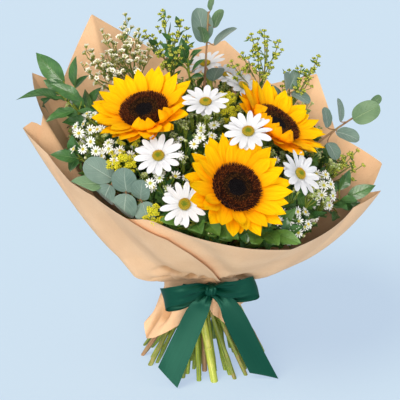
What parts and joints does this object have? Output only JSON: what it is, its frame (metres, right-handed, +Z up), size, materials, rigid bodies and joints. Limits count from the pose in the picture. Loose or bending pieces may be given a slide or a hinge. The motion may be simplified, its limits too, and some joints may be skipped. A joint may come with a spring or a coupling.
{
  "type": "bunch of sunflowers",
  "caption": "Hand-tied bunch of sunflowers with white daisies, asters and eucalyptus, wrapped in kraft paper with a satin bow, standing upright on its splayed cut stems.",
  "frame": {"origin": "middle of the footprint box, on the surface the cut stems stand on", "axes": "+Z up through the tie; -Y to the front, where the bow is; +X to the right seen from the front"},
  "size_m": [0.4333, 0.3555, 0.44],
  "materials": {
    "kraft": "matte, lightly creased",
    "satin": "satin sheen",
    "twine": "coarse twist",
    "seed_brown": "rough, spiky",
    "petal_gold": "soft satin",
    "daisy_ochre": "fine grained",
    "petal_white": "soft matte",
    "stem_green": "smooth, slightly waxy",
    "eucalyptus_blue": "powdery bloom",
    "leaf_green": "glossy",
    "aster_white": "soft matte",
    "solidago_yellow": "fluffy matte",
    "bud_green": "waxy matte"
  },
  "bodies": {
    "root": {"kraft_sheet_back": "kraft", "kraft_sheet_front": "kraft", "kraft_sheet_flap": "kraft", "satin_ribbon": "satin", "binding_twine": "twine", "sunflower_left_disc": "seed_brown", "sunflower_left_petals": "petal_gold", "sunflower_front_disc": "seed_brown", "sunflower_front_petals": "petal_gold", "sunflower_right_disc": "seed_brown", "sunflower_right_petals": "petal_gold", "daisy_1_disc": "daisy_ochre", "daisy_1_petals": "petal_white", "daisy_2_disc": "daisy_ochre", "daisy_2_petals": "petal_white", "daisy_3_disc": "daisy_ochre", "daisy_3_petals": "petal_white", "daisy_4_disc": "daisy_ochre", "daisy_4_petals": "petal_white", "daisy_5_disc": "daisy_ochre", "daisy_5_petals": "petal_white", "daisy_6_disc": "daisy_ochre", "daisy_6_petals": "petal_white", "daisy_7_disc": "daisy_ochre", "daisy_7_petals": "petal_white", "daisy_8_disc": "daisy_ochre", "daisy_8_petals": "petal_white", "sunflower_left_stem": "stem_green", "sunflower_front_stem": "stem_green", "sunflower_right_stem": "stem_green", "chrysanthemum_stem_middle": "stem_green", "chrysanthemum_stem_back": "stem_green", "chrysanthemum_stem_left": "stem_green", "chrysanthemum_stem_right": "stem_green", "eucalyptus_stem_back": "eucalyptus_blue", "eucalyptus_stem_right": "eucalyptus_blue", "eucalyptus_stem_middle": "eucalyptus_blue", "eucalyptus_stem_left": "eucalyptus_blue", "leafy_stem_back": "leaf_green", "leafy_stem_left": "leaf_green", "leafy_stem_low_left": "leaf_green", "leafy_stem_front": "leaf_green", "leafy_stem_front_right": "leaf_green", "leafy_stem_right": "leaf_green", "aster_spray_left": "aster_white", "aster_spray_middle": "aster_white", "aster_spray_low": "aster_white", "aster_spray_right": "aster_white", "aster_spray_front_right": "aster_white", "solidago_spray_left": "solidago_yellow", "solidago_spray_middle": "solidago_yellow", "bud_spray_left": "bud_green", "bud_spray_back_left": "bud_green", "bud_spray_back_right": "bud_green", "bud_spray_right": "bud_green", "bud_spray_far_right": "bud_green"}
  },
  "joints": []
}
